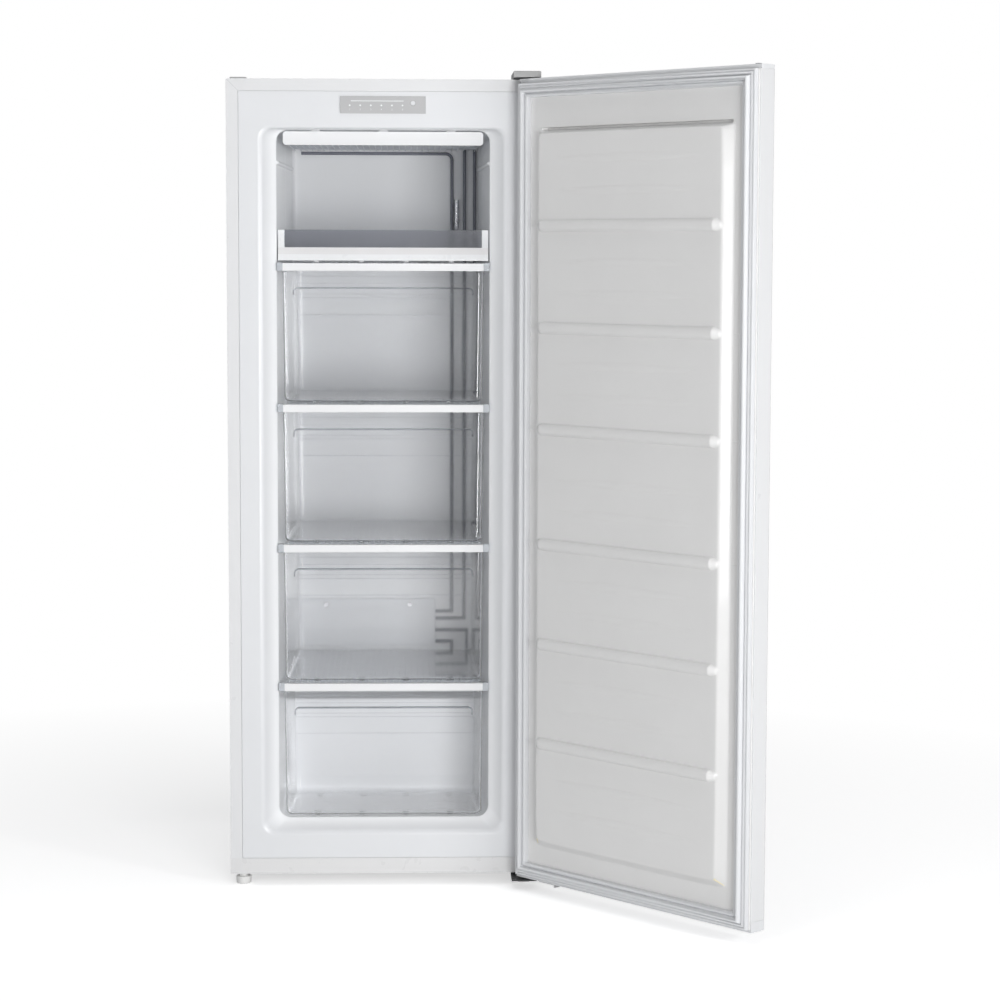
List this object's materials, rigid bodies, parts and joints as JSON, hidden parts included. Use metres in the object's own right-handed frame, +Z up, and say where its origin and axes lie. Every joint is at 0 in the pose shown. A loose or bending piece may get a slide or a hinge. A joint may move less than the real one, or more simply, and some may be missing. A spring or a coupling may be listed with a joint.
{
  "type": "upright freezer",
  "caption": "Free-standing upright freezer with a side-hinged door, wire evaporator shelves, clear drawers and a pull-out freezing tray.",
  "frame": {"origin": "on the floor below the middle of the cabinet's front edge", "axes": "+X to the right across the front, +Y to the back, +Z up"},
  "size_m": [0.9075, 0.9608, 1.4505],
  "materials": {
    "white_paint": "gloss",
    "zinc_sheet": "matte",
    "liner_plastic": "gloss",
    "door_liner_plastic": "gloss",
    "foam": "matte",
    "bezel_plastic": "satin",
    "lamp_lens": "gloss",
    "button_plastic": "satin",
    "circuit_board": "gloss",
    "hinge_steel": "satin",
    "hinge_plastic": "satin",
    "screw_steel": "satin",
    "foot_plastic": "satin",
    "foot_rubber": "matte",
    "trim_plastic": "gloss",
    "tube_grey": "satin",
    "cover_plastic": "satin",
    "sensor_metal": "satin",
    "tray_plastic": "gloss",
    "clear_plastic": "gloss",
    "compressor_paint": "satin",
    "condenser_paint": "satin",
    "copper": "satin",
    "gasket_rubber": "satin",
    "cap_plastic": "satin",
    "bush_plastic": "satin",
    "evaporator": "satin"
  },
  "bodies": {
    "cabinet": {"back_panel": "zinc_sheet", "base_tray": "zinc_sheet", "blank_hinge_cover": "hinge_plastic", "bottom_panel": "white_paint", "bypass_cover": "cover_plastic", "bypass_cover_screws": "screw_steel", "ceiling_coil": "evaporator", "ceiling_trim": "trim_plastic", "ceiling_wires": "evaporator", "compressor": "compressor_paint", "compressor_bulkhead": "zinc_sheet", "compressor_mounts": "foot_rubber", "condenser_coil": "condenser_paint", "condenser_wires": "condenser_paint", "control_bezel": "bezel_plastic", "control_board": "circuit_board", "cord_gland": "foot_rubber", "filter_drier": "copper", "hinge_screws": "screw_steel", "indicator_lenses": "lamp_lens", "inner_liner": "liner_plastic", "insulation_foam": "foam", "lower_hinge_bracket": "hinge_steel", "outer_shell": "white_paint", "rear_feet": "foot_rubber", "riser_tubes": "tube_grey", "sensor_bulb": "sensor_metal", "shelf_coil_1": "evaporator", "shelf_coil_2": "evaporator", "shelf_coil_3": "evaporator", "shelf_coil_4": "evaporator", "shelf_trim_1": "trim_plastic", "shelf_trim_2": "trim_plastic", "shelf_trim_3": "trim_plastic", "shelf_trim_4": "trim_plastic", "shelf_wires_1": "evaporator", "shelf_wires_2": "evaporator", "shelf_wires_3": "evaporator", "shelf_wires_4": "evaporator", "terminal_box": "hinge_plastic", "top_hinge_bracket": "hinge_steel", "top_hinge_cover": "hinge_plastic"},
    "control_button": {"control_button": "button_plastic"},
    "door": {"door_bottom_cap": "cap_plastic", "door_bushes": "bush_plastic", "door_foam": "foam", "door_gasket": "gasket_rubber", "door_hole_plug": "hinge_plastic", "door_liner": "door_liner_plastic", "door_skin": "white_paint", "door_stop": "hinge_steel", "door_top_cap": "cap_plastic"},
    "drawer_1": {"drawer_1": "clear_plastic"},
    "drawer_2": {"drawer_2": "clear_plastic"},
    "drawer_3": {"drawer_3": "clear_plastic"},
    "drawer_4": {"drawer_4": "clear_plastic"},
    "foot_left": {"foot_front_left": "foot_plastic"},
    "foot_right": {"foot_front_right": "foot_plastic"},
    "tray": {"freezing_tray": "tray_plastic", "tray_retainer": "clear_plastic"}
  },
  "joints": [
    {"name": "door_hinge", "type": "hinge", "parent": "cabinet", "child": "door", "pos_m": [0.259, -0.03, 0.73], "axis": [0, 0, 1], "range_deg": [-132, 0]},
    {"name": "drawer_1_slide", "type": "slide", "parent": "cabinet", "child": "drawer_1", "axis": [0, -1, 0], "range_m": [0, 0.33]},
    {"name": "drawer_2_slide", "type": "slide", "parent": "cabinet", "child": "drawer_2", "axis": [0, -1, 0], "range_m": [0, 0.33]},
    {"name": "drawer_3_slide", "type": "slide", "parent": "cabinet", "child": "drawer_3", "axis": [0, -1, 0], "range_m": [0, 0.33]},
    {"name": "drawer_4_slide", "type": "slide", "parent": "cabinet", "child": "drawer_4", "axis": [0, -1, 0], "range_m": [0, 0.17]},
    {"name": "tray_slide", "type": "slide", "parent": "cabinet", "child": "tray", "axis": [0, -1, 0], "range_m": [0, 0.3]},
    {"name": "button_press", "type": "slide", "parent": "cabinet", "child": "control_button", "axis": [0, 1, 0], "range_m": [0, 0.0008], "stiffness_N_per_m": 600},
    {"name": "foot_left_turn", "type": "hinge", "parent": "cabinet", "child": "foot_left", "pos_m": [-0.253, 0.025, 0.02], "axis": [0, 0, 1], "continuous": true},
    {"name": "foot_right_turn", "type": "hinge", "parent": "cabinet", "child": "foot_right", "pos_m": [0.253, 0.025, 0.02], "axis": [0, 0, 1], "continuous": true}
  ]
}
